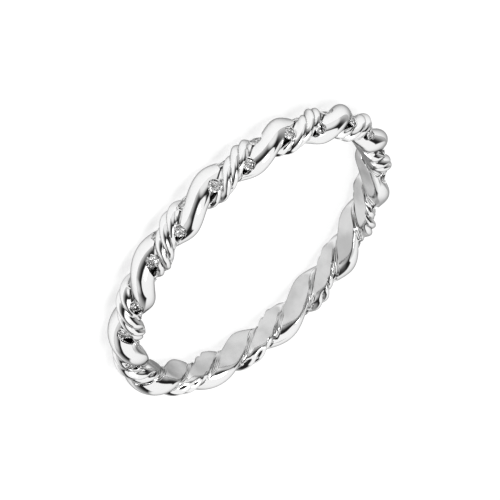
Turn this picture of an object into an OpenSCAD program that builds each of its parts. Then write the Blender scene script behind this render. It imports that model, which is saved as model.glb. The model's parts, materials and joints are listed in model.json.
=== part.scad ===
// Rope twist ring: a two-ply rope of metal bent into a finger ring, with small stones in the channels
// between its plies. The ring lies on its side, with the finger hole along Z.

/* [Ring] */
// Inner diameter, across the finger
finger_d = 17; // [14:0.5:21]
// Turns of the rope in the whole ring
rope_turns = 11; // [10:1:13]
// From the finger to the middle of the rope
inner_wall = 0.63; // [0.58:0.01:0.7]
// Angle of the smooth strand round the rope, where the ring starts
start_angle = 0; // [0:1:359]

/* [Smooth strand] */
// Diameter of the smooth strand
smooth_d = 1.47; // [1.36:0.01:1.6]
// From the middle of the rope to the middle of the smooth strand
smooth_out = 0.39; // [0.32:0.01:0.44]

/* [Strand bundle] */
// Slender strands in the bundle
slender_count = 3; // [2:1:3]
// Diameter of one slender strand
slender_d = 0.84; // [0.76:0.01:0.9]
// From the middle of the bundle to the middle of a slender strand
slender_out = 0.24; // [0.18:0.01:0.3]
// From the middle of the rope to the middle of the bundle
bundle_out = 0.39; // [0.34:0.01:0.42]

/* [Stones] */
// Diameter of a stone at its girdle
stone_d = 0.66; // [0.56:0.01:0.72]
// Diameter of the flat table on top
table_d = 0.38; // [0.3:0.01:0.44]
// Height of the crown, from girdle to table
crown_h = 0.1; // [0.07:0.01:0.12]
// Height of the girdle's upright edge
girdle_h = 0.02; // [0.01:0.01:0.03]
// Depth of the pointed pavilion under the girdle
pavilion_h = 0.27; // [0.22:0.01:0.3]
// How far the girdle lies below the shoulder of the smooth strand
stone_sink = 0.13; // [0.1:0.01:0.17]
// Angle round the rope between the two stones of a pass, one on each side of the ring
stone_spread = 87; // [80:1:94]
// How far round the rope the middle of the two is moved from the outermost line, in degrees
pair_shift = 14; // [8:1:18]

/* [Channels] */
// Clearance between a stone and the metal round it
seat_gap = 0.035; // [0.03:0.005:0.05]
// Half width of the shallow channel on the finger side
inner_channel_w = 0.2; // [0.15:0.01:0.3]
// How far the shallow channel lies behind the finger bore
inner_channel_dip = 0.07; // [0.04:0.01:0.12]
// How far the edge of the channel lies below the crests of the bundle
rail_dip = 0.05; // [0.02:0.01:0.1]

/* [Hidden] */

// Points along each slender strand's round, an even number so that crest and groove both get one
STRAND_POINTS = 6;
// Points along the smooth strand's round
SMOOTH_POINTS = 12;
// The bundle's strands are drawn as far round as this
BUNDLE_REACH = 70;
// Between two stones the channel starts to close this share of a step past the stone
SLOPE_START = 0.2;
// Sides of a stone
FACETS = 8;
BORE_FINENESS = 180;

smooth_r = smooth_d / 2;
stone_r = stone_d / 2;
bundle_r = slender_out + slender_d / 2;
finger_r = finger_d / 2;
rope_r = finger_r + inner_wall;

// The bundle's strands turn once more than the rope in each of its turns, by one point a step
turn_steps = STRAND_POINTS * slender_count;
ring_steps = turn_steps * rope_turns;
strand_step = 360 / turn_steps;
bundle_half = floor(BUNDLE_REACH / strand_step);

// The lay is the slope of the strands against the ring, where the stones sit
lay_r = smooth_r - stone_sink;
lay_angle = atan2(lay_r * rope_turns, rope_r);
outer_channel_w = (stone_r + seat_gap) / cos(lay_angle);
shoulder_y = smooth_height(outer_channel_w);
girdle_y = shoulder_y - stone_sink;
floor_y = girdle_y - girdle_h - pavilion_h - seat_gap;
inner_floor_y = inner_wall - inner_channel_dip;

// Degrees round the rope from the middle of a pass to the near and far ends of its two stones
mm_a_degree = PI / 180 * norm([rope_r, girdle_y * rope_turns]) / rope_turns;
near_end = stone_spread / 2 - stone_r / mm_a_degree;
far_end = stone_spread / 2 + stone_r / mm_a_degree;

// Height of the smooth strand's surface at a place x across the section
function smooth_height(x) = sqrt(pow(smooth_r, 2) - pow(x - smooth_out, 2));

// Radius of the bundle, an angle away from the crest of a slender strand
function strand_radius(away) = let (
        half = 180 / slender_count,
        off = abs(away - 2 * half * round(away / (2 * half))),
        deep = pow(slender_d / 2, 2) - pow(slender_out * sin(off), 2)
    ) slender_out * cos(off) + sqrt(deep);

function wrapped(angle) = angle - 360 * round(angle / 360);

// The bundle turns by one step at each step round the ring, and the smooth strand stays opposite it
function bundle_turn(i) = i * strand_step;
function section_turn(i) = bundle_turn(i) - 180;

// From 0, deep for the stones, to 1, shallow where the strands close up: between the two stones, and on
// the finger side. It stays deep for a step past each stone. side is 1 or -1 for the two channels
function shallowness(i, side) = let (
        from_middle = abs(wrapped(section_turn(i) + side * (90 + pair_shift))),
        between = (near_end - from_middle) / strand_step - SLOPE_START,
        beyond = (from_middle - far_end) / strand_step - 1
    ) min(1, max(0, between / (1 - SLOPE_START), beyond));

function mixed(a, b, share) = a + (b - a) * share;

// One section of the rope, in its own turning plane: x runs to the smooth strand, y to the first channel
function smooth_arc(w_low, w_high) = let (
        from = -acos((w_low - smooth_out) / smooth_r),
        to = acos((w_high - smooth_out) / smooth_r)
    ) [for (k = [0 : SMOOTH_POINTS - 1])
        let (a = mixed(from, to, k / (SMOOTH_POINTS - 1)))
        [smooth_out + smooth_r * cos(a), smooth_r * sin(a)]];

function bundle_arc(i) = [for (k = [-bundle_half : bundle_half])
        let (a = k * strand_step, r = strand_radius(a - bundle_turn(i)))
        [-bundle_out - r * cos(a), -r * sin(a)]];

function rail_height(w) = sqrt(pow(bundle_r - rail_dip, 2) - pow(w - bundle_out, 2));

function section(i) = let (
        high = shallowness(i, 1),
        low = shallowness(i, -1),
        w_high = mixed(outer_channel_w, inner_channel_w, high),
        w_low = mixed(outer_channel_w, inner_channel_w, low),
        y_high = mixed(floor_y, inner_floor_y, high),
        y_low = mixed(floor_y, inner_floor_y, low)
    ) concat(
        smooth_arc(w_low, w_high),
        [[w_high, y_high], [-w_high, y_high], [-w_high, rail_height(w_high)]],
        bundle_arc(i),
        [[-w_low, -rail_height(w_low)], [-w_low, -y_low], [w_low, -y_low]]
    );

// A point of the section, put in its place in the ring
function placed(p, i) = let (
        t = section_turn(i),
        around = (t - start_angle) / rope_turns,
        r = rope_r + p.x * cos(t) - p.y * sin(t)
    ) [r * cos(around), r * sin(around), p.x * sin(t) + p.y * cos(t)];

module rope() {
    count = len(section(0));
    points = [for (i = [0 : ring_steps - 1]) for (p = section(i)) placed(p, i)];
    function at(i, j) = (i % ring_steps) * count + (j + count) % count;
    // The smooth strand's cells are halved the shorter way. The other way follows the crests of the slender
    // strands, and leaves the channels their full width and depth between two sections
    function on_smooth(j) = j < SMOOTH_POINTS - 1;
    function halves(p, q, r, s, short) = short ? [[p, q, s], [s, q, r]] : [[p, q, r], [p, r, s]];
    faces = [for (i = [0 : ring_steps - 1]) for (j = [0 : count - 1])
        each halves(at(i, j), at(i, j + 1), at(i + 1, j + 1), at(i + 1, j), on_smooth(j))];
    polyhedron(points, faces, convexity = 10);
}

module band() {
    color("gainsboro")
    difference() {
        rope();
        cylinder(h = 4 * smooth_d, r = finger_r, center = true, $fn = BORE_FINENESS);
    }
}

// The corners of one stone round its own upright axis: table, two girdle edges and the point
function stone_corners() = concat(
        [for (k = [0 : FACETS - 1]) let (a = 360 * (k + 0.5) / FACETS)
            [table_d / 2 * cos(a), table_d / 2 * sin(a), crown_h]],
        [for (h = [0, -girdle_h]) for (k = [0 : FACETS - 1]) let (a = 360 * k / FACETS)
            [stone_r * cos(a), stone_r * sin(a), h]],
        [[0, 0, -girdle_h - pavilion_h]]
    );

function stone_faces(base) = let (
        n = FACETS,
        point = 3 * n
    ) [for (face = concat(
        [[for (k = [n - 1 : -1 : 0]) k]],
        [for (k = [0 : n - 1]) [k, (k + 1) % n, n + (k + 1) % n]],
        [for (k = [0 : n - 1]) [k, n + (k + 1) % n, n + k]],
        [for (k = [0 : n - 1]) [n + k, n + (k + 1) % n, 2 * n + (k + 1) % n]],
        [for (k = [0 : n - 1]) [n + k, 2 * n + (k + 1) % n, 2 * n + k]],
        [for (k = [0 : n - 1]) [2 * n + k, 2 * n + (k + 1) % n, point]]
    )) [for (v = face) base + v]];

// Each seat is [angle round the ring, angle round the rope]
seats = [for (turn = [0 : rope_turns - 1]) for (side = [-1, 1]) for (half = [-1, 1])
        let (
            round_rope = half * stone_spread / 2 - side * pair_shift,
            turned = round_rope - side * 90 - start_angle
        ) [(turned + 360 * turn) / rope_turns, round_rope]];

// A corner of a stone, put in its seat with the stone's top outwards
function seated(p, seat) = let (
        outward = [cos(seat[0]), sin(seat[0]), 0],
        along = [-sin(seat[0]), cos(seat[0]), 0],
        up = [0, 0, 1],
        top = outward * cos(seat[1]) + up * sin(seat[1]),
        across = up * cos(seat[1]) - outward * sin(seat[1]),
        run = along * (rope_r + girdle_y * cos(seat[1])) + across * girdle_y * rope_turns,
        lay = run / norm(run)
    ) outward * rope_r + top * (girdle_y + p.z) + lay * p.x + cross(top, lay) * p.y;

module stones() {
    corners = stone_corners();
    color("white")
    polyhedron(
        [for (seat = seats) for (p = corners) seated(p, seat)],
        [for (k = [0 : len(seats) - 1]) each stone_faces(k * len(corners))],
        convexity = 10
    );
}

band();
stones();
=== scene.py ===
import json
import math

import bpy
import numpy as np
from bpy.props import FloatProperty, FloatVectorProperty, IntProperty, PointerProperty
from mathutils import Matrix, Vector


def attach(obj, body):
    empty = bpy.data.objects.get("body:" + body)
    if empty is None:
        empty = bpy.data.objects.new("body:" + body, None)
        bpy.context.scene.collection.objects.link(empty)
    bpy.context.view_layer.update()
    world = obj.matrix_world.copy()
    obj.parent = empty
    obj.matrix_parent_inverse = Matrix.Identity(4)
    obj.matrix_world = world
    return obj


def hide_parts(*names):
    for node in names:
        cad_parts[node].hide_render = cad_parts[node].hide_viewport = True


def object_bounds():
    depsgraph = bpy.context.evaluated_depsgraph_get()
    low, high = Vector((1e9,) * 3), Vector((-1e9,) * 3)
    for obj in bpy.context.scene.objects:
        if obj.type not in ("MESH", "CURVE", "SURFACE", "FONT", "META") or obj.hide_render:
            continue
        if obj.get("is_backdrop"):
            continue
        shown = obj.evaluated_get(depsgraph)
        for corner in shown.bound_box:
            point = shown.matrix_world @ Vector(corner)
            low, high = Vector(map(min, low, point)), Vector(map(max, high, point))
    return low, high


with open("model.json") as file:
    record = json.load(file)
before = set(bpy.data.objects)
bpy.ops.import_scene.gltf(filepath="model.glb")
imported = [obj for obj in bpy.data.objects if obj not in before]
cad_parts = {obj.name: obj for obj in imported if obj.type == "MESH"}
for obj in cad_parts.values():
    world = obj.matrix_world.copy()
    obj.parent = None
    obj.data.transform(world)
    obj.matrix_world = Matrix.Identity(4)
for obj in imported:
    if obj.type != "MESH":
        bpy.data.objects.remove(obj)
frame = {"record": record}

bl_info = {
    "name": "Rope twist ring",
    "version": (1, 0, 0),
    "blender": (4, 5, 0),
    "location": "3D View > Sidebar > Rope ring",
    "description": "A finger ring of two-ply metal rope, with small stones set between its plies",
    "category": "Add Mesh",
}

MM = 0.001
# Corners closer than this are one, where a sheet's edges meet
SEAM = 1e-7
CAD_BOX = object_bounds()
FINGER_BORE = next(mount for mount in frame["record"]["mounts"] if mount["name"] == "finger_bore")
FINGER_R = FINGER_BORE["dims"]["r_mm"] * MM


# Sizes and colours that a user would change

class RopeSizes(bpy.types.PropertyGroup):
    turns: IntProperty(name="Turns", description="Turns of the rope in the whole ring", default=11)
    inner_wall: FloatProperty(
        name="Inner wall", description="From the finger to the middle of the rope",
        default=0.63 * MM, unit="LENGTH", precision=6)
    start_angle: FloatProperty(
        name="Start angle", description="Angle of the smooth strand round the rope where the ring starts",
        default=0.0, subtype="ANGLE")
    smooth_r: FloatProperty(
        name="Smooth strand radius", description="Radius of the smooth strand",
        default=0.735 * MM, unit="LENGTH", precision=6)
    smooth_out: FloatProperty(
        name="Smooth strand offset", description="From the middle of the rope to that of the smooth strand",
        default=0.39 * MM, unit="LENGTH", precision=6)
    slender_count: IntProperty(name="Slender strands", description="Strands in the bundle", default=3)
    slender_r: FloatProperty(
        name="Slender strand radius", description="Radius of one slender strand",
        default=0.42 * MM, unit="LENGTH", precision=6)
    slender_out: FloatProperty(
        name="Slender strand offset",
        description="From the middle of the bundle to that of a slender strand",
        default=0.24 * MM, unit="LENGTH", precision=6)
    bundle_out: FloatProperty(
        name="Bundle offset", description="From the middle of the rope to that of the bundle",
        default=0.39 * MM, unit="LENGTH", precision=6)


class SeatSizes(bpy.types.PropertyGroup):
    stone_r: FloatProperty(
        name="Stone radius", description="Radius of a stone at its girdle",
        default=0.33 * MM, unit="LENGTH", precision=6)
    table_r: FloatProperty(
        name="Table radius", description="Radius of the flat table on top",
        default=0.19 * MM, unit="LENGTH", precision=6)
    crown_h: FloatProperty(
        name="Crown height", description="From the girdle to the table",
        default=0.1 * MM, unit="LENGTH", precision=6)
    girdle_h: FloatProperty(
        name="Girdle height", description="Height of the girdle's upright edge",
        default=0.02 * MM, unit="LENGTH", precision=6)
    pavilion_h: FloatProperty(
        name="Pavilion depth", description="Depth of the pointed part under the girdle",
        default=0.27 * MM, unit="LENGTH", precision=6)
    sink: FloatProperty(
        name="Stone sink", description="How far the girdle lies below the smooth strand's shoulder",
        default=0.13 * MM, unit="LENGTH", precision=6)
    spread: FloatProperty(
        name="Stone spread", description="Angle round the rope between the two stones of a pass",
        default=math.radians(87), subtype="ANGLE")
    shift: FloatProperty(
        name="Pair shift", description="How far round the rope the middle of the two is moved",
        default=math.radians(14), subtype="ANGLE")
    tail_angle: FloatProperty(
        name="Tail angle", description="Angle round the rope where the narrow end of a setting lies",
        default=math.radians(78), subtype="ANGLE")
    taper: FloatProperty(
        name="Setting taper", description="How fast a setting narrows towards its tail", default=0.3)
    seat_gap: FloatProperty(
        name="Seat gap", description="Clearance between a stone and the metal round it",
        default=0.035 * MM, unit="LENGTH", precision=6)
    inner_w: FloatProperty(
        name="Inner channel", description="Half width of the shallow channel on the finger side",
        default=0.2 * MM, unit="LENGTH", precision=6)
    inner_dip: FloatProperty(
        name="Inner dip", description="How far the shallow channel lies behind the finger bore",
        default=0.07 * MM, unit="LENGTH", precision=6)
    rail_dip: FloatProperty(
        name="Rail dip", description="How far a channel's edge lies below the crests of the bundle",
        default=0.05 * MM, unit="LENGTH", precision=6)
    rail_r: FloatProperty(
        name="Rail radius", description="Radius of the fine rail round each setting",
        default=0.045 * MM, unit="LENGTH", precision=6)
    bead_r: FloatProperty(
        name="Bead radius", description="Radius of the beads that hold the stones",
        default=0.06 * MM, unit="LENGTH", precision=6)


class Finishes(bpy.types.PropertyGroup):
    metal: FloatVectorProperty(
        name="Metal", description="Colour of the polished white metal",
        default=(0.86, 0.86, 0.86), subtype="COLOR", size=3, min=0, max=1)
    rim: FloatVectorProperty(
        name="Rim", description="Tint of the metal's reflections at a grazing angle",
        default=(0.3, 0.3, 0.3), subtype="COLOR", size=3, min=0, max=1)
    # Painted shade: the near-black colour the metal is given deep between the plies, where shade falls
    recess_shade: FloatVectorProperty(
        name="Painted shade", description="Colour of the metal deep between the plies",
        default=(0.1, 0.1, 0.1), subtype="COLOR", size=3, min=0, max=1)
    # Painted shade: the same metal given a darker colour on the finger side, for the shade inside the ring
    shaded_bore_metal: FloatVectorProperty(
        name="Shaded inner metal", description="Colour of the metal on the finger side",
        default=(0.66, 0.66, 0.66), subtype="COLOR", size=3, min=0, max=1)
    stone: FloatVectorProperty(
        name="Stone", description="Colour of the clear stones",
        default=(0.92, 0.92, 0.92), subtype="COLOR", size=3, min=0, max=1)
    floor: FloatVectorProperty(
        name="Floor", description="Colour of the floor that the ring lies on",
        default=(0.5, 0.5, 0.5), subtype="COLOR", size=3, min=0, max=1)


def sizes():
    scene = bpy.context.scene
    return scene.rope_sizes, scene.seat_sizes, scene.ring_finishes


# The rope, as turning sections round the ring. Angles are in radians and lengths in metres

# Sections in a turn of the rope, and points along each part of a section
TURN_STEPS = 60
SMOOTH_POINTS = 46
BUNDLE_POINTS = 46
WALL_POINTS = 3
FLOOR_POINTS = 12
# The groove between the plies widens into the finger side's channel from here on, over this stretch
FINGER_SIDE = math.radians(86)
RISE = math.radians(20)
# The groove on the outside: its half width, its middle and its bottom, across the rope's section
GROOVE_W = 0.06 * MM
GROOVE_X = -0.12 * MM
GROOVE_Y = 0.46 * MM
# The slender strands run into the edge of the groove over this stretch
STRAND_FADE = math.radians(24)
# They close up from this angle round the rope on, over this stretch, to one flat on the finger side
FLAT_START = math.radians(118)
FLAT_FADE = math.radians(22)
# The finger side's channel follows the face of the bore up to this height in the section, and its rise is
# worked out with no smaller cosine of the angle from the finger than this
FLUSH_Y = 0.67 * MM
FLUSH_COSINE = 0.5
# How softly the ring's inside is rounded into its sides
BORE_EDGE = 0.2 * MM
# Fine lines along the finger side's channel: their number and depth
FLOOR_LINES = 3
FLOOR_LINE_DEPTH = 0.03 * MM


def mixed(a, b, share):
    return a + (b - a) * share


def eased(x):
    x = np.clip(x, 0, 1)
    return x * x * (3 - 2 * x)


def wrapped(angle):
    return angle - math.tau * np.round(angle / math.tau)


class Layout:
    """Sizes that follow from the driving ones, the same way as in the part's source."""

    def __init__(self, rope, seat):
        self.rope_r = FINGER_R + rope.inner_wall
        self.bundle_r = rope.slender_out + rope.slender_r
        lay_r = rope.smooth_r - seat.sink
        lay = math.atan2(lay_r * rope.turns, self.rope_r)
        self.well_r = seat.stone_r + seat.seat_gap
        outer_w = self.well_r / math.cos(lay)
        shoulder_y = math.sqrt(rope.smooth_r ** 2 - (outer_w - rope.smooth_out) ** 2)
        self.girdle_y = shoulder_y - seat.sink
        self.floor_y = self.girdle_y - seat.girdle_h - seat.pavilion_h - seat.seat_gap
        self.inner_floor_y = rope.inner_wall - seat.inner_dip
        self.m_a_radian = math.hypot(self.rope_r, self.girdle_y * rope.turns) / rope.turns


def strand_radius(away, rope):
    """Radius of the bundle, an angle away from the crest of a slender strand."""
    spacing = math.tau / rope.slender_count
    off = away - spacing * np.round(away / spacing)
    deep = rope.slender_r ** 2 - (rope.slender_out * np.sin(off)) ** 2
    return rope.slender_out * np.cos(off) + np.sqrt(deep)


def finger_share(turn, side):
    """0 on the outside of the ring, and 1 where a channel lies on the finger side."""
    from_outermost = np.abs(wrapped(turn + side * math.pi / 2))
    return eased((from_outermost - FINGER_SIDE) / RISE)


def channel(w, middle, y, top, rail, share):
    """The points across one channel: down from the smooth strand, over the floor and up to the bundle."""
    w, middle, y, top, rail, share = (value[:, None] for value in (w, middle, y, top, rail, share))
    down = np.linspace(0, 1, WALL_POINTS + 1)[1:]
    up = np.linspace(0, 1, WALL_POINTS + 1)[:-1]
    across = np.linspace(1, -1, FLOOR_POINTS + 2)[1:-1]
    lines = FLOOR_LINE_DEPTH * (0.5 - 0.5 * np.cos(math.pi * FLOOR_LINES * (across + 1)))
    wall = np.ones(WALL_POINTS)
    x = middle + w * np.concatenate([wall, across, -wall])
    h = np.concatenate([mixed(top, y, down), y - share * lines, mixed(y, rail, up)], axis=1)
    return x, h


def channel_sizes(turn, side, rope, seat, layout):
    """Half width, middle, floor and share of one channel, and where the two plies end at it."""
    share = finger_share(turn, side)
    w = mixed(GROOVE_W, seat.inner_w, share)
    middle = mixed(GROOVE_X, 0, share)
    from_finger = wrapped(turn + side * math.pi / 2 - math.pi)
    flush = layout.inner_floor_y / np.maximum(np.cos(from_finger), FLUSH_COSINE)
    y = mixed(GROOVE_Y, np.minimum(flush, FLUSH_Y), share)
    arc = np.arccos((middle + w - rope.smooth_out) / rope.smooth_r)
    from_bundle = middle - w + rope.bundle_out
    rail = np.sqrt((layout.bundle_r - seat.rail_dip) ** 2 - from_bundle ** 2)
    return w, middle, y, share, arc, rail, np.arctan2(rail, -from_bundle)


def sections(turn, rope, seat, layout):
    """x and y of every section's points, in the planes that turn with the rope."""
    w1, m1, floor1, share1, arc1, rail1, end1 = channel_sizes(turn, 1, rope, seat, layout)
    w2, m2, floor2, share2, arc2, rail2, end2 = channel_sizes(turn, -1, rope, seat, layout)
    a = mixed(-arc2[:, None], arc1[:, None], np.linspace(0, 1, SMOOTH_POINTS))
    smooth_x = rope.smooth_out + rope.smooth_r * np.cos(a)
    smooth_y = rope.smooth_r * np.sin(a)
    x1, y1 = channel(w1, m1, floor1, smooth_y[:, -1], rail1, share1)
    x2, y2 = channel(w2, m2, floor2, -smooth_y[:, 0], rail2, share2)
    b = mixed(-end1[:, None], end2[:, None], np.linspace(0, 1, BUNDLE_POINTS))
    crest_turn = turn[:, None] + math.pi
    end = np.where(b < 0, end1[:, None], end2[:, None])
    edge = eased((np.abs(b) - end + STRAND_FADE) / STRAND_FADE)
    closed = eased((np.abs(wrapped(turn[:, None] + math.pi + b)) - FLAT_START) / FLAT_FADE)
    r = mixed(strand_radius(b - crest_turn, rope), layout.bundle_r, closed)
    r = mixed(r, layout.bundle_r - seat.rail_dip, edge)
    bundle_x = -rope.bundle_out - r * np.cos(b)
    bundle_y = -r * np.sin(b)
    x = np.concatenate([smooth_x, x1, bundle_x, x2[:, ::-1]], axis=1)
    y = np.concatenate([smooth_y, y1, bundle_y, -y2[:, ::-1]], axis=1)
    return x, y


def rounded_bore(r):
    """Keeps a distance from the ring's axis out of the finger bore, with a soft edge where the two meet."""
    share = np.clip(0.5 + 0.5 * (r - FINGER_R) / BORE_EDGE, 0, 1)
    return mixed(FINGER_R, r, share) + BORE_EDGE * share * (1 - share)


def placed(x, y, turn, rope, layout):
    """Points of the turning planes, put in their places in the ring."""
    around = (turn - rope.start_angle) / rope.turns
    r = rounded_bore(layout.rope_r + x * np.cos(turn) - y * np.sin(turn))
    z = x * np.sin(turn) + y * np.cos(turn)
    return np.stack([r * np.cos(around), r * np.sin(around), z], axis=-1)


# The seats of the stones

def seats(rope):
    """Each seat's channel, -1 or 1, its turn of the rope, and its side of the ring, 1 above and -1 below."""
    return [(side, turn, half) for turn in range(rope.turns) for side in (-1, 1) for half in (-1, 1)]


def stone_angle(side, half, seat):
    """The angle round the rope at which a stone sits."""
    return half * seat.spread / 2 - side * seat.shift


def seat_frame(side, turn, round_rope, rope, layout):
    """A place in a channel, at an angle round the rope: the rope's middle there, and the axes up from a
    stone's table, along the channel and across it."""
    turned = round_rope - side * math.pi / 2 - rope.start_angle
    around = (turned + math.tau * turn) / rope.turns
    outward = Vector((math.cos(around), math.sin(around), 0))
    forward = Vector((-math.sin(around), math.cos(around), 0))
    up = Vector((0, 0, 1))
    top = outward * math.cos(round_rope) + up * math.sin(round_rope)
    swing = up * math.cos(round_rope) - outward * math.sin(round_rope)
    run = forward * (layout.rope_r + layout.girdle_y * math.cos(round_rope))
    run = run + swing * layout.girdle_y * rope.turns
    lay = run.normalized()
    return outward * layout.rope_r, top, lay, top.cross(lay)


# Points round the wide end of a setting and round its tail, and steps along each of its straight sides
WIDE_POINTS = 31
TAIL_POINTS = 17
SIDE_STEPS = 8


def between(a, b):
    """The places that part the way from a to b into equal steps, without its two ends."""
    shares = [k / SIDE_STEPS for k in range(1, SIDE_STEPS)]
    return [(mixed(a[0], b[0], share), mixed(a[1], b[1], share)) for share in shares]


def arc_places(middle, r, start, end, count):
    """Places along and across, round an arc whose middle lies this far along."""
    return [(middle + r * math.cos(a), r * math.sin(a)) for a in np.linspace(start, end, count)]


def teardrop(r, length, taper):
    """Places along and across, round a setting: a circle drawn out to a smaller one at its tail."""
    lean = math.acos(taper)
    wide = arc_places(0, r, lean, math.tau - lean, WIDE_POINTS)
    tail = arc_places(length, r - taper * length, -lean, lean, TAIL_POINTS)
    return wide + between(wide[-1], tail[0]) + tail + between(tail[-1], wide[0])


def outline_places(key, widened, rope, seat, layout):
    """A setting's outline, widened by a length: for each point the rope's middle, up and across there."""
    side, turn, half = key
    angle = stone_angle(side, half, seat)
    length = (seat.tail_angle - abs(angle)) * layout.m_a_radian
    places = []
    for along, across in teardrop(layout.well_r + widened, length, seat.taper):
        there = angle + half * along / layout.m_a_radian
        middle, top, _, sideways = seat_frame(side, turn, there, rope, layout)
        places.append((middle + sideways * across, top))
    return places


# Making and finishing pieces

def deselect():
    if bpy.context.object and bpy.context.object.mode != "OBJECT":
        bpy.ops.object.mode_set(mode="OBJECT")
    bpy.ops.object.select_all(action="DESELECT")


def only(piece):
    deselect()
    piece.select_set(True)
    bpy.context.view_layer.objects.active = piece


def named(name):
    piece = bpy.context.object
    piece.name = name
    piece.data.name = name
    return piece


def joined(pieces, name):
    deselect()
    for piece in pieces:
        piece.select_set(True)
    bpy.context.view_layer.objects.active = pieces[0]
    if len(pieces) > 1:
        bpy.ops.object.join()
    return named(name)


def applied(piece, kind, **settings):
    only(piece)
    modifier = piece.modifiers.new(kind.title(), kind)
    for key, value in settings.items():
        setattr(modifier, key, value)
    bpy.ops.object.modifier_apply(modifier=modifier.name)


def at_origin(piece):
    only(piece)
    bpy.ops.object.transform_apply(location=True, rotation=True, scale=True)


def moved_to(piece, points):
    piece.data.vertices.foreach_set("co", np.asarray(points, dtype=np.float32).ravel())
    piece.data.update()


def rolled_sheet(name, points):
    """A sheet rolled up both ways into a closed ring, through points[i][j], where i runs round the ring
    and j round its section."""
    steps, count = points.shape[:2]
    deselect()
    bpy.ops.mesh.primitive_grid_add(x_subdivisions=steps, y_subdivisions=count, size=1)
    sheet = named(name)
    flat = np.empty(3 * len(sheet.data.vertices), dtype=np.float32)
    sheet.data.vertices.foreach_get("co", flat)
    flat = flat.reshape(-1, 3)
    if len(flat) != (steps + 1) * (count + 1):
        raise RuntimeError(f"{name}: the sheet has {len(flat)} corners, not {(steps + 1) * (count + 1)}")
    i = np.round((flat[:, 0] + 0.5) * steps).astype(int) % steps
    j = np.round((flat[:, 1] + 0.5) * count).astype(int) % count
    moved_to(sheet, points[i, j])
    only(sheet)
    bpy.ops.object.mode_set(mode="EDIT")
    bpy.ops.mesh.select_all(action="SELECT")
    bpy.ops.mesh.remove_doubles(threshold=SEAM)
    bpy.ops.mesh.normals_make_consistent(inside=False)
    bpy.ops.object.mode_set(mode="OBJECT")
    if len(sheet.data.vertices) != steps * count:
        raise RuntimeError(f"{name}: the seams left {len(sheet.data.vertices)} corners, not {steps * count}")
    return sheet


def smoothed(piece, angle):
    only(piece)
    bpy.ops.object.shade_smooth_by_angle(angle=angle)


def finished(piece, material, node=None):
    piece.data.materials.clear()
    piece.data.materials.append(material)
    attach(piece, "root")
    if node:
        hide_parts(node)


# Materials

# How fine the patterns of the finishes are, as scales of the noise
POLISH_SCALE = 900
HAIRLINE_SCALE = 9000
BORE_CLOUD_SCALE = 420
STONE_HAZE_SCALE = 2500
FLOOR_GRAIN_SCALE = 4000
# Finer layers of noise in the hairlines and in the finger side's clouds
FINE_DETAIL = 3
# Height of the hairlines at full depth
HAIRLINE_H = 0.002 * MM
# Painted shade deep between the plies: the metal's colour starts to darken at the first of these distances
# from the middle of the rope, and is darkest at the second
PAINTED_RECESS_SHADE = (0.6 * MM, 0.44 * MM)
# It starts to turn to inner metal, whose darker colour is painted shade, at the first of these heights over
# the bore, and has turned at the second
BORE_SKIN = (0.22 * MM, 0.06 * MM)
# How much rougher the finger side is than the rest, and the share of its colour where it is clouded
BORE_SATIN = 0.1
BORE_CLOUDS = 0.72
# The finger side is clouded where the noise is under the first of these, and clear over the second
CLOUD_EDGES = (0.35, 0.65)
# Refraction of the stones, and how rough their haze makes them at most
STONE_IOR = 2.42
STONE_HAZE = 0.03
# The floor's roughness and gloss, and the share of its colour where its grain is darkest
FLOOR_ROUGHNESS = 0.8
FLOOR_GLOSS = 0.2
FLOOR_SHADE = 0.98
# The floor gives light of its own as well, like a light table
FLOOR_GLOW = 0.66


def new_material(name):
    material = bpy.data.materials.new(name)
    material.use_nodes = True
    return material, material.node_tree, material.node_tree.nodes["Principled BSDF"]


def polishing_group():
    """Fine hairlines and a faint unevenness of hand polishing, for any metal: roughness and normal."""
    name = "hand_polish"
    if name in bpy.data.node_groups:
        return bpy.data.node_groups[name]
    group = bpy.data.node_groups.new(name, "ShaderNodeTree")
    for label, usual in (("Roughness", 0.05), ("Variation", 0.03), ("Depth", 0.01)):
        socket = group.interface.new_socket(label, in_out="INPUT", socket_type="NodeSocketFloat")
        socket.default_value = usual
    group.interface.new_socket("Roughness", in_out="OUTPUT", socket_type="NodeSocketFloat")
    group.interface.new_socket("Normal", in_out="OUTPUT", socket_type="NodeSocketVector")
    nodes, links = group.nodes, group.links
    ins, outs = nodes.new("NodeGroupInput"), nodes.new("NodeGroupOutput")
    place = nodes.new("ShaderNodeTexCoord")
    cloud = nodes.new("ShaderNodeTexNoise")
    cloud.inputs["Scale"].default_value = POLISH_SCALE
    hair = nodes.new("ShaderNodeTexNoise")
    hair.inputs["Scale"].default_value = HAIRLINE_SCALE
    hair.inputs["Detail"].default_value = FINE_DETAIL
    for noise in (cloud, hair):
        links.new(place.outputs["Object"], noise.inputs["Vector"])
    vary = nodes.new("ShaderNodeMath")
    vary.operation = "MULTIPLY_ADD"
    links.new(cloud.outputs["Fac"], vary.inputs[0])
    links.new(ins.outputs["Variation"], vary.inputs[1])
    links.new(ins.outputs["Roughness"], vary.inputs[2])
    bump = nodes.new("ShaderNodeBump")
    bump.inputs["Distance"].default_value = HAIRLINE_H
    links.new(ins.outputs["Depth"], bump.inputs["Strength"])
    links.new(hair.outputs["Fac"], bump.inputs["Height"])
    links.new(vary.outputs[0], outs.inputs["Roughness"])
    links.new(bump.outputs["Normal"], outs.inputs["Normal"])
    return group


def math_node(tree, operation, *values):
    node = tree.nodes.new("ShaderNodeMath")
    node.operation = operation
    for socket, value in zip(node.inputs, values):
        if isinstance(value, (int, float)):
            socket.default_value = value
        else:
            tree.links.new(value, socket)
    return node.outputs[0]


def faded(tree, value, start, end):
    node = tree.nodes.new("ShaderNodeMapRange")
    node.interpolation_type = "SMOOTHSTEP"
    node.inputs["From Min"].default_value = start
    node.inputs["From Max"].default_value = end
    tree.links.new(value, node.inputs["Value"])
    return node.outputs["Result"]


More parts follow.
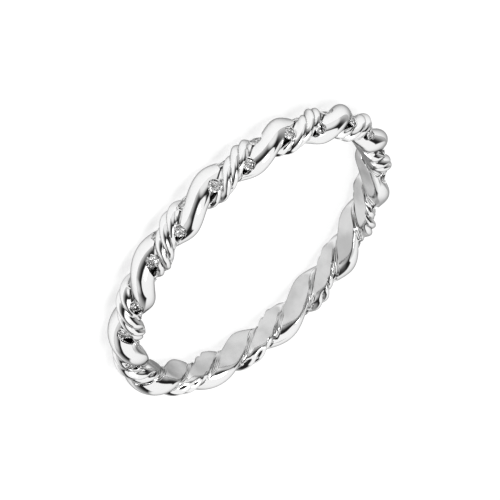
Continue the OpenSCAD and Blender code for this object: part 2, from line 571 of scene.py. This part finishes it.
def length_node(tree, a, b):
    """The long side of a right triangle whose other sides are a and b."""
    square = math_node(tree, "ADD", math_node(tree, "MULTIPLY", a, a), math_node(tree, "MULTIPLY", b, b))
    return math_node(tree, "SQRT", square)


def places_group():
    """Masks of the ring's own places, deep between the plies and on the face of the finger bore, where shade
    is painted into the metal's colour, and a soft cloudiness."""
    name = "ring_places"
    if name in bpy.data.node_groups:
        return bpy.data.node_groups[name]
    rope, seat = sizes()[:2]
    layout = Layout(rope, seat)
    group = bpy.data.node_groups.new(name, "ShaderNodeTree")
    for label in ("Painted shade", "Bore", "Cloud"):
        group.interface.new_socket(label, in_out="OUTPUT", socket_type="NodeSocketFloat")
    outs = group.nodes.new("NodeGroupOutput")
    place = group.nodes.new("ShaderNodeTexCoord")
    apart = group.nodes.new("ShaderNodeSeparateXYZ")
    group.links.new(place.outputs["Object"], apart.inputs[0])
    x, y, z = apart.outputs
    from_axis = length_node(group, x, y)
    from_rope = length_node(group, math_node(group, "SUBTRACT", from_axis, layout.rope_r), z)
    # The mask for the painted shade deep between the plies
    group.links.new(faded(group, from_rope, *PAINTED_RECESS_SHADE), outs.inputs["Painted shade"])
    bore = faded(group, from_axis, FINGER_R + BORE_SKIN[0], FINGER_R + BORE_SKIN[1])
    group.links.new(bore, outs.inputs["Bore"])
    cloud = group.nodes.new("ShaderNodeTexNoise")
    cloud.inputs["Scale"].default_value = BORE_CLOUD_SCALE
    cloud.inputs["Detail"].default_value = FINE_DETAIL
    group.links.new(place.outputs["Object"], cloud.inputs["Vector"])
    group.links.new(faded(group, cloud.outputs["Fac"], *CLOUD_EDGES), outs.inputs["Cloud"])
    return group


def mixed_colour(tree, share, a, b):
    node = tree.nodes.new("ShaderNodeMix")
    node.data_type = "RGBA"
    tree.links.new(share, node.inputs["Factor"])
    for label, value in (("A", a), ("B", b)):
        socket = next(i for i in node.inputs if i.name == label and i.type == "RGBA")
        if isinstance(value, bpy.types.NodeSocket):
            tree.links.new(value, socket)
        else:
            socket.default_value = (*value, 1)
    return next(o for o in node.outputs if o.type == "RGBA")


def polished(name, finishes, roughness, variation, depth):
    material, tree, shader = new_material(name)
    shader.inputs["Metallic"].default_value = 1
    shader.inputs["Specular Tint"].default_value = (*finishes.rim, 1)
    polish = tree.nodes.new("ShaderNodeGroup")
    polish.node_tree = polishing_group()
    for label, value in (("Roughness", roughness), ("Variation", variation), ("Depth", depth)):
        polish.inputs[label].default_value = value
    places = tree.nodes.new("ShaderNodeGroup")
    places.node_tree = places_group()
    # The inner metal's darker colour is painted shade inside the ring; its clouds are a random tone
    dull = [value * BORE_CLOUDS for value in finishes.shaded_bore_metal]
    inner = mixed_colour(tree, places.outputs["Cloud"], dull, finishes.shaded_bore_metal)
    colour = mixed_colour(tree, places.outputs["Bore"], finishes.metal, inner)
    # Painted shade: the metal turns near black deep between the plies
    colour = mixed_colour(tree, places.outputs["Painted shade"], colour, finishes.recess_shade)
    tree.links.new(colour, shader.inputs["Base Color"])
    satin = math_node(tree, "MULTIPLY_ADD", places.outputs["Bore"], BORE_SATIN, polish.outputs["Roughness"])
    tree.links.new(satin, shader.inputs["Roughness"])
    tree.links.new(polish.outputs["Normal"], shader.inputs["Normal"])
    return material


def clear_stone(colour):
    material, tree, shader = new_material("clear_stone")
    shader.inputs["Base Color"].default_value = (*colour, 1)
    shader.inputs["Transmission Weight"].default_value = 1
    shader.inputs["IOR"].default_value = STONE_IOR
    place = tree.nodes.new("ShaderNodeTexCoord")
    haze = tree.nodes.new("ShaderNodeTexNoise")
    haze.inputs["Scale"].default_value = STONE_HAZE_SCALE
    vary = tree.nodes.new("ShaderNodeMapRange")
    vary.inputs["To Min"].default_value = 0
    vary.inputs["To Max"].default_value = STONE_HAZE
    tree.links.new(place.outputs["Object"], haze.inputs["Vector"])
    tree.links.new(haze.outputs["Fac"], vary.inputs["Value"])
    tree.links.new(vary.outputs["Result"], shader.inputs["Roughness"])
    return material


# Operators, one for each kind of piece and one for the stage

# Edges of the band that turn more than this stay crisp
CREASE = math.radians(32)


def prisms(outlines, name):
    """Closed columns, each between a ring of low points and a ring of high ones."""
    points, cells = [], []
    for low, high in outlines:
        count, base = len(low), len(points)
        points.extend(low)
        points.extend(high)
        points.append(sum(low, Vector()) / count)
        points.append(sum(high, Vector()) / count)
        for k in range(count):
            after = (k + 1) % count
            cells.append([base + k, base + after, base + count + after, base + count + k])
            cells.append([base + after, base + k, base + 2 * count])
            cells.append([base + count + k, base + count + after, base + 2 * count + 1])
    mesh = bpy.data.meshes.new(name)
    mesh.from_pydata([tuple(point) for point in points], [], cells)
    piece = bpy.data.objects.new(name, mesh)
    bpy.context.collection.objects.link(piece)
    only(piece)
    bpy.ops.object.mode_set(mode="EDIT")
    bpy.ops.mesh.select_all(action="SELECT")
    bpy.ops.mesh.normals_make_consistent(inside=False)
    bpy.ops.object.mode_set(mode="OBJECT")
    return piece


class MakeBand(bpy.types.Operator):
    """Make the rope of a smooth and a stranded ply, rounded into the finger bore, and cut its settings"""
    bl_idname = "rope_ring.band"
    bl_label = "Band"

    def execute(self, context):
        rope, seat, finishes = sizes()
        layout = Layout(rope, seat)
        steps = TURN_STEPS * rope.turns
        turn = math.tau * np.arange(steps) / TURN_STEPS - math.pi
        x, y = sections(turn, rope, seat, layout)
        band = rolled_sheet("rope_band", placed(x, y, turn[:, None], rope, layout))
        wells = []
        for key in seats(rope):
            places = outline_places(key, 0, rope, seat, layout)
            low = [place + top * layout.floor_y for place, top in places]
            high = [place + top * 2 * rope.smooth_r for place, top in places]
            wells.append((low, high))
        cutter = prisms(wells, "wells")
        applied(band, "BOOLEAN", operation="DIFFERENCE", solver="MANIFOLD", object=cutter)
        bpy.data.objects.remove(cutter)
        smoothed(band, CREASE)
        metal = polished("polished_metal", finishes, roughness=0.05, variation=0.04, depth=0.15)
        finished(band, metal, "band")
        return {"FINISHED"}


# Blender's fineness for the round of a rail, which makes it 8-sided
RAIL_FINENESS = 2
# The rail stands this share of its radius above the girdles, and this far out from the well
RAIL_RISE = 0.5


class MakeRails(bpy.types.Operator):
    """Make the fine rail that runs round each setting"""
    bl_idname = "rope_ring.rails"
    bl_label = "Rails"

    def execute(self, context):
        rope, seat, finishes = sizes()
        layout = Layout(rope, seat)
        height = layout.girdle_y + seat.rail_r * RAIL_RISE
        loops = []
        for key in seats(rope):
            places = outline_places(key, seat.rail_r * RAIL_RISE, rope, seat, layout)
            loops.append([place + top * height for place, top in places])
        rails = swept_loops(loops, seat.rail_r, "rails")
        metal = polished("rail_metal", finishes, roughness=0.06, variation=0.03, depth=0.1)
        finished(rails, metal)
        return {"FINISHED"}


def swept_loops(loops, radius, name):
    """Round wires along closed loops of points, as one mesh."""
    curve = bpy.data.curves.new(name, "CURVE")
    curve.dimensions = "3D"
    curve.bevel_depth = radius
    curve.bevel_resolution = RAIL_FINENESS
    for points in loops:
        spline = curve.splines.new("POLY")
        spline.points.add(len(points) - 1)
        for point, place in zip(spline.points, points):
            point.co = (*place, 1)
        spline.use_cyclic_u = True
    wire = bpy.data.objects.new(name, curve)
    bpy.context.collection.objects.link(wire)
    only(wire)
    bpy.ops.object.convert(target="MESH")
    wire = named(name)
    bpy.ops.object.shade_smooth()
    return wire


# Where the beads stand round a stone, in degrees from the channel's own direction
BEAD_ANGLES = (45, 135, 225, 315)
# A bead's middle stands this share of its radius above the girdle
BEAD_RISE = 0.4
BEAD_SEGMENTS = 10
BEAD_RINGS = 6


class MakeBeads(bpy.types.Operator):
    """Make the small beads that hold each stone"""
    bl_idname = "rope_ring.beads"
    bl_label = "Beads"

    def execute(self, context):
        rope, seat, finishes = sizes()
        layout = Layout(rope, seat)
        beads = []
        deselect()
        bpy.ops.mesh.primitive_uv_sphere_add(
            segments=BEAD_SEGMENTS, ring_count=BEAD_RINGS, radius=seat.bead_r)
        first = named("bead")
        for side, turn, half in seats(rope):
            angle = stone_angle(side, half, seat)
            middle, top, lay, sideways = seat_frame(side, turn, angle, rope, layout)
            for degrees in BEAD_ANGLES:
                a = math.radians(degrees)
                bead = first.copy()
                bead.data = first.data.copy()
                out = (lay * math.cos(a) + sideways * math.sin(a)) * seat.stone_r
                bead.location = middle + top * (layout.girdle_y + seat.bead_r * BEAD_RISE) + out
                bpy.context.collection.objects.link(bead)
                beads.append(bead)
        bpy.data.objects.remove(first)
        beads = joined(beads, "beads")
        at_origin(beads)
        only(beads)
        bpy.ops.object.shade_smooth()
        metal = polished("bead_metal", finishes, roughness=0.05, variation=0.03, depth=0.1)
        finished(beads, metal)
        return {"FINISHED"}


# A brilliant's facets repeat this many times round it
CUT = 8
# The crown's facets break this share of the way out from the table, at this share of the crown's height
BREAK_OUT = 0.5
BREAK_RISE = 0.56
# The pavilion's facets break at this share of the stone's radius, this share of the way down
LOWER_OUT = 0.32
LOWER_DOWN = 0.74


def brilliant(seat):
    """The corners and faces of a round brilliant: table, stars, kites, girdle, and the pointed pavilion."""
    corners, faces = [], []

    def circle(count, r, h, turn):
        start = len(corners)
        for k in range(count):
            a = math.tau * (k + turn) / count
            corners.append((r * math.cos(a), r * math.sin(a), h))
        return [start + k for k in range(count)]

    table = circle(CUT, seat.table_r, seat.crown_h, 0.5)
    break_r = mixed(seat.table_r, seat.stone_r, BREAK_OUT)
    breaks = circle(CUT, break_r, seat.crown_h * BREAK_RISE, 0)
    rim = circle(2 * CUT, seat.stone_r, 0, 0)
    under = circle(2 * CUT, seat.stone_r, -seat.girdle_h, 0)
    lower = circle(CUT, seat.stone_r * LOWER_OUT, -seat.girdle_h - seat.pavilion_h * LOWER_DOWN, 0.5)
    point = len(corners)
    corners.append((0, 0, -seat.girdle_h - seat.pavilion_h))
    faces.append(table)
    for k in range(CUT):
        before, after = table[k - 1], table[k]
        next_break = breaks[(k + 1) % CUT]
        low, half, next_low = rim[2 * k], rim[2 * k + 1], rim[(2 * k + 2) % (2 * CUT)]
        faces.append([before, breaks[k], after])
        faces.append([after, breaks[k], half])
        faces.append([after, half, next_break])
        faces.append([breaks[k], low, half])
        faces.append([half, next_low, next_break])
    for k in range(2 * CUT):
        after = (k + 1) % (2 * CUT)
        faces.append([rim[k], under[k], under[after], rim[after]])
    for k in range(CUT):
        low, half, next_low = under[2 * k], under[2 * k + 1], under[(2 * k + 2) % (2 * CUT)]
        faces.append([low, lower[k], half])
        faces.append([half, lower[k], next_low])
        faces.append([next_low, lower[k], point, lower[(k + 1) % CUT]])
    return corners, faces


class MakeStones(bpy.types.Operator):
    """Make the round brilliants in their seats"""
    bl_idname = "rope_ring.stones"
    bl_label = "Stones"

    def execute(self, context):
        rope, seat, finishes = sizes()
        layout = Layout(rope, seat)
        corners, faces = brilliant(seat)
        points, cells = [], []
        for side, turn, half in seats(rope):
            angle = stone_angle(side, half, seat)
            middle, top, lay, sideways = seat_frame(side, turn, angle, rope, layout)
            base = len(points)
            for x, y, z in corners:
                points.append(middle + top * (layout.girdle_y + z) + lay * x + sideways * y)
            cells.extend([[base + k for k in face] for face in faces])
        mesh = bpy.data.meshes.new("stones")
        mesh.from_pydata([tuple(point) for point in points], [], cells)
        stones = bpy.data.objects.new("brilliants", mesh)
        bpy.context.collection.objects.link(stones)
        only(stones)
        bpy.ops.object.mode_set(mode="EDIT")
        bpy.ops.mesh.select_all(action="SELECT")
        bpy.ops.mesh.normals_make_consistent(inside=False)
        bpy.ops.object.mode_set(mode="OBJECT")
        finished(stones, clear_stone(finishes.stone), "stones")
        return {"FINISHED"}


# The stage: floor, surroundings, light and camera

# The camera, as the photograph shows the ring: its distance and clips in metres, its angles in degrees,
# its lens and sensor in millimetres, and its shift as a share of the picture
CAMERA_DISTANCE = 0.362
CAMERA_AZIMUTH = 1.545
CAMERA_ELEVATION = 26.43
CAMERA_ROLL = 133.56
CAMERA_LENS = 461.6
CAMERA_SENSOR = 36
CAMERA_SHIFT = (-0.0034, 0.004)
CAMERA_CLIPS = (0.01, 20)
FLOOR_SIZE = 6.0
# The soft lamp's width and distance in metres, its power in watts, and its azimuth and elevation in degrees
LAMP_SIZE = 0.12
LAMP_DISTANCE = 0.3
LAMP_POWER = 0.18
LAMP_PLACE = (-20, 68)


class MakeStage(bpy.types.Operator):
    """Make the floor, the dark room with its white panels, the soft light and the camera"""
    bl_idname = "rope_ring.stage"
    bl_label = "Stage"

    def execute(self, context):
        finishes = sizes()[2]
        low = min(CAD_BOX[0].z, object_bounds()[0].z)
        deselect()
        bpy.ops.mesh.primitive_plane_add(size=FLOOR_SIZE, location=(0, 0, low))
        floor = named("floor")
        floor.data.materials.append(floor_material(finishes.floor))
        floor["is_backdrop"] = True
        surroundings()
        soft_light()
        camera()
        return {"FINISHED"}


def floor_material(colour):
    material, tree, shader = new_material("pale_floor")
    place = tree.nodes.new("ShaderNodeTexCoord")
    grain = tree.nodes.new("ShaderNodeTexNoise")
    grain.inputs["Scale"].default_value = FLOOR_GRAIN_SCALE
    tree.links.new(place.outputs["Object"], grain.inputs["Vector"])
    darkest = [value * FLOOR_SHADE for value in colour]
    pale = mixed_colour(tree, grain.outputs["Fac"], darkest, colour)
    tree.links.new(pale, shader.inputs["Base Color"])
    shader.inputs["Roughness"].default_value = FLOOR_ROUGHNESS
    shader.inputs["Specular IOR Level"].default_value = FLOOR_GLOSS
    shader.inputs["Emission Color"].default_value = (1, 1, 1, 1)
    shader.inputs["Emission Strength"].default_value = FLOOR_GLOW
    return material


def direction(azimuth, elevation):
    """A direction by its azimuth from the camera's own, and its elevation, in degrees."""
    a, e = math.radians(azimuth + CAMERA_AZIMUTH), math.radians(elevation)
    return Vector((math.cos(e) * math.cos(a), math.cos(e) * math.sin(a), math.sin(e)))


def panel_mask(tree, place, middle, radius, softness):
    """1 inside a round panel of the surroundings, seen from the ring, and 0 outside it."""
    across = tree.nodes.new("ShaderNodeVectorMath")
    across.operation = "DOT_PRODUCT"
    across.inputs[1].default_value = middle
    tree.links.new(place, across.inputs[0])
    rim = math.cos(math.radians(radius + softness))
    return faded(tree, across.outputs["Value"], rim, math.cos(math.radians(radius)))


# White panels of the dark studio: azimuth and elevation of the middle, radius and softness of the edge,
# in degrees as seen from the ring, and brightness. Overhead, backdrop, left wall and right wall
PANELS = (
    (0, 90, 38, 4, 1.0),
    (180, 32, 32, 8, 1.0),
    (-58, 5, 18, 26, 0.9),
    (75, 0, 8, 34, 0.75),
)
# The room's own brightness at the horizon and high up. It fades from the one to the other as the upward
# part of a direction goes from 0 to this
ROOM_LOW = 0.6
ROOM_HIGH = 0.015
ROOM_FADE = 0.6
# How bright the surroundings are as a whole
SURROUND_STRENGTH = 1.3


def surroundings():
    world = bpy.data.worlds.new("light_tent")
    bpy.context.scene.world = world
    world.use_nodes = True
    tree = world.node_tree
    tree.nodes.clear()
    nodes, links = tree.nodes, tree.links
    place = nodes.new("ShaderNodeTexCoord").outputs["Generated"]
    height = nodes.new("ShaderNodeSeparateXYZ")
    links.new(place, height.inputs[0])
    room = faded(tree, height.outputs["Z"], ROOM_FADE, 0)
    bright = math_node(tree, "MULTIPLY_ADD", room, ROOM_LOW - ROOM_HIGH, ROOM_HIGH)
    for azimuth, elevation, radius, softness, white in PANELS:
        mask = panel_mask(tree, place, direction(azimuth, elevation), radius, softness)
        bright = math_node(tree, "MAXIMUM", math_node(tree, "MULTIPLY", mask, white), bright)
    bright = math_node(tree, "MULTIPLY", bright, SURROUND_STRENGTH)
    background = nodes.new("ShaderNodeBackground")
    links.new(bright, background.inputs["Strength"])
    out = nodes.new("ShaderNodeOutputWorld")
    links.new(background.outputs[0], out.inputs[0])


def soft_light():
    """A soft lamp on the camera's side, which lays a faint shadow behind the ring."""
    lamp = bpy.data.lights.new("softbox", "AREA")
    lamp.shape = "DISK"
    lamp.size = LAMP_SIZE
    lamp.energy = LAMP_POWER
    place = bpy.data.objects.new("softbox", lamp)
    bpy.context.collection.objects.link(place)
    place.location = direction(*LAMP_PLACE) * LAMP_DISTANCE
    place.rotation_euler = place.location.to_track_quat("Z", "Y").to_euler()


def camera():
    data = bpy.data.cameras.new("camera")
    eye = bpy.data.objects.new("camera", data)
    bpy.context.collection.objects.link(eye)
    roll = math.radians(CAMERA_ROLL)
    ahead = -direction(0, CAMERA_ELEVATION)
    right = Vector((0, 0, 1)).cross(-ahead).normalized()
    up = right.cross(ahead)
    turned_right = right * math.cos(roll) + up * math.sin(roll)
    turned_up = up * math.cos(roll) - right * math.sin(roll)
    axes = Matrix((turned_right, turned_up, -ahead)).transposed().to_4x4()
    eye.matrix_world = Matrix.Translation(-ahead * CAMERA_DISTANCE) @ axes
    data.sensor_width = CAMERA_SENSOR
    data.lens = CAMERA_LENS
    data.shift_x, data.shift_y = CAMERA_SHIFT
    data.clip_start, data.clip_end = CAMERA_CLIPS
    bpy.context.scene.camera = eye
    bpy.context.scene.view_settings.view_transform = "Standard"


class RopeRingPanel(bpy.types.Panel):
    """Lists the ring's sizes, finishes and pieces"""
    bl_idname = "VIEW3D_PT_rope_ring"
    bl_label = "Rope ring"
    bl_space_type = "VIEW_3D"
    bl_region_type = "UI"
    bl_category = "Rope ring"

    def draw(self, context):
        column = self.layout.column()
        for operator in OPERATORS:
            column.operator(operator.bl_idname)
        for group in (context.scene.rope_sizes, context.scene.seat_sizes, context.scene.ring_finishes):
            for name in group.__annotations__:
                column.prop(group, name)


OPERATORS = (MakeBand, MakeStones, MakeRails, MakeBeads, MakeStage)
CLASSES = (RopeSizes, SeatSizes, Finishes, *OPERATORS, RopeRingPanel)


def register():
    for cls in CLASSES:
        bpy.utils.register_class(cls)
    bpy.types.Scene.rope_sizes = PointerProperty(type=RopeSizes)
    bpy.types.Scene.seat_sizes = PointerProperty(type=SeatSizes)
    bpy.types.Scene.ring_finishes = PointerProperty(type=Finishes)


def unregister():
    del bpy.types.Scene.ring_finishes
    del bpy.types.Scene.seat_sizes
    del bpy.types.Scene.rope_sizes
    for cls in reversed(CLASSES):
        bpy.utils.unregister_class(cls)


def main():
    register()
    bpy.ops.rope_ring.band()
    bpy.ops.rope_ring.stones()
    bpy.ops.rope_ring.rails()
    bpy.ops.rope_ring.beads()
    bpy.ops.rope_ring.stage()


if __name__ == "__main__":
    main()
